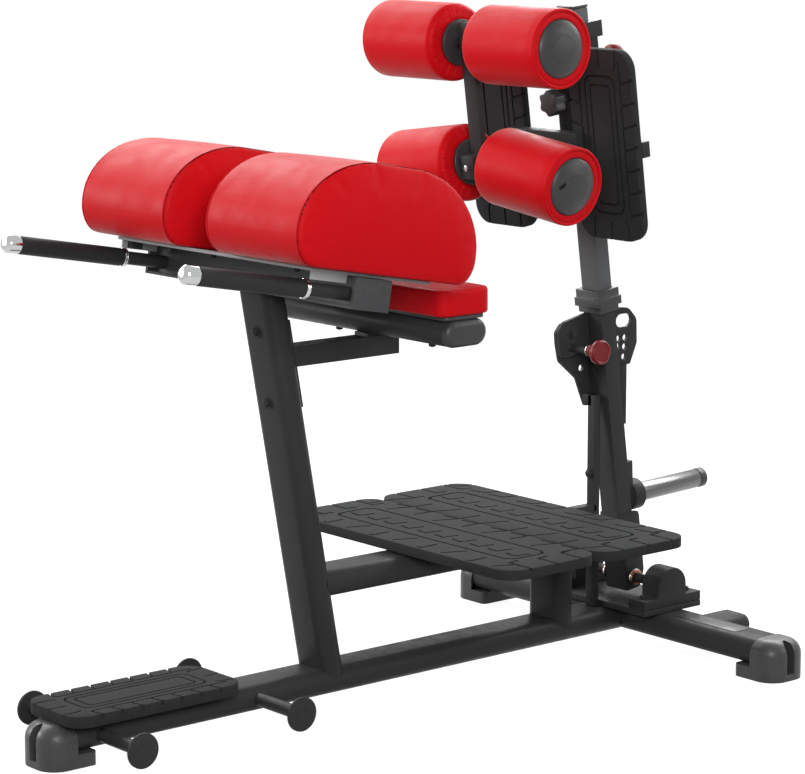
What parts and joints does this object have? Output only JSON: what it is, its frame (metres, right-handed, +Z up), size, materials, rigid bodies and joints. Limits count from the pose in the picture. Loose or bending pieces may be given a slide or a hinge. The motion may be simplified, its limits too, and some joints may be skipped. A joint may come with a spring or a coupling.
{
  "type": "glute ham developer",
  "caption": "Glute ham developer with split red hip pads, knee pad, standing deck, tilting post with ankle rollers and foot plates, weight horn, step and band pegs.",
  "frame": {"origin": "on the floor at the middle of the outer box", "axes": "+X from the front step towards the weight horn at the rear, +Y to the left side, +Z up"},
  "size_m": [1.6951, 0.954, 1.3242],
  "materials": {
    "black_paint": "satin, fine texture",
    "grey_paint": "satin",
    "plate_grey": "satin",
    "chrome": "polished",
    "red_vinyl": "soft vinyl, fine grain",
    "tread_rubber": "matte, moulded tread",
    "grip_rubber": "matte",
    "black_plastic": "satin",
    "red_plastic": "gloss"
  },
  "bodies": {
    "frame": {"band_peg_front": "black_paint", "band_peg_rear": "black_paint", "base_rail": "black_paint", "bearing_block_left": "black_paint", "bearing_block_right": "black_paint", "bearing_plate": "black_paint", "carriage_beam": "plate_grey", "carriage_plate": "plate_grey", "deck_frame": "black_paint", "deck_sheet": "black_paint", "deck_tread_front": "tread_rubber", "deck_tread_rear": "tread_rubber", "front_foot": "black_plastic", "handle_cap_left": "chrome", "handle_cap_right": "chrome", "handle_grip_left": "grip_rubber", "handle_grip_right": "grip_rubber", "handle_rod_left": "black_paint", "handle_rod_right": "black_paint", "hip_pad_left": "red_vinyl", "hip_pad_right": "red_vinyl", "knee_pad": "red_vinyl", "knee_pad_board": "black_plastic", "main_upright": "black_paint", "pad_arm": "black_paint", "pad_cross_tube": "black_paint", "rear_crossbar": "black_paint", "rear_foot_left": "black_plastic", "rear_foot_right": "black_plastic", "selector_frame": "black_paint", "step_sheet": "black_paint", "step_tread": "tread_rubber", "tube_cap_left": "black_plastic", "tube_cap_right": "black_plastic"},
    "post": {"lower_post": "black_paint", "pivot_shaft": "black_paint", "post_collar": "black_plastic", "upper_post": "grey_paint", "post_plug": "black_plastic", "horn_sleeve": "chrome", "horn_cap": "black_plastic", "pin_carrier": "black_paint"},
    "tilt_pin_body": {"tilt_pin": "red_plastic"},
    "head": {"head_sleeve": "black_paint", "plate_bar": "black_paint", "foot_plate_left": "tread_rubber", "foot_plate_right": "tread_rubber", "roller_arm": "black_paint", "roller_carrier": "black_paint"},
    "height_pin_body": {"height_pin": "red_plastic"},
    "star_knob_body": {"star_knob": "black_plastic"},
    "roller_lower_left": {"roller_pad_lower_left": "red_vinyl", "roller_hub_lower_left": "black_plastic"},
    "roller_lower_right": {"roller_pad_lower_right": "red_vinyl", "roller_hub_lower_right": "black_plastic"},
    "roller_upper_left": {"roller_pad_upper_left": "red_vinyl", "roller_hub_upper_left": "black_plastic"},
    "roller_upper_right": {"roller_pad_upper_right": "red_vinyl", "roller_hub_upper_right": "black_plastic"}
  },
  "joints": [
    {"name": "post_tilt", "type": "hinge", "parent": "frame", "child": "post", "pos_m": [0.6135, 0, 0.13], "axis": [0, 1, 0], "range_deg": [0, 18]},
    {"name": "tilt_pin_pull", "type": "slide", "parent": "post", "child": "tilt_pin_body", "axis": [0, -1, 0], "range_m": [0, 0.012], "stiffness_N_per_m": 400, "springref_m": -0.01},
    {"name": "head_height", "type": "slide", "parent": "post", "child": "head", "axis": [-0.1347, 0, 0.9909], "range_m": [-0.21, 0]},
    {"name": "height_pin_pull", "type": "slide", "parent": "head", "child": "height_pin_body", "axis": [0.9909, 0, 0.1347], "range_m": [0, 0.012], "stiffness_N_per_m": 400, "springref_m": -0.01},
    {"name": "star_knob_turn", "type": "hinge", "parent": "head", "child": "star_knob_body", "pos_m": [0.4275, 0, 1.127], "axis": [-0.9909, 0, -0.1347], "continuous": true},
    {"name": "roller_lower_left_spin", "type": "hinge", "parent": "head", "child": "roller_lower_left", "pos_m": [0.225, 0.043, 1.0134], "axis": [0.0178, 0.9912, -0.1311], "continuous": true},
    {"name": "roller_lower_right_spin", "type": "hinge", "parent": "head", "child": "roller_lower_right", "pos_m": [0.225, -0.043, 1.0134], "axis": [0.0178, -0.9912, -0.1311], "continuous": true},
    {"name": "roller_upper_left_spin", "type": "hinge", "parent": "head", "child": "roller_upper_left", "pos_m": [0.193, 0.043, 1.2486], "axis": [0, 1, 0], "continuous": true},
    {"name": "roller_upper_right_spin", "type": "hinge", "parent": "head", "child": "roller_upper_right", "pos_m": [0.193, -0.043, 1.2486], "axis": [0, -1, 0], "continuous": true}
  ]
}
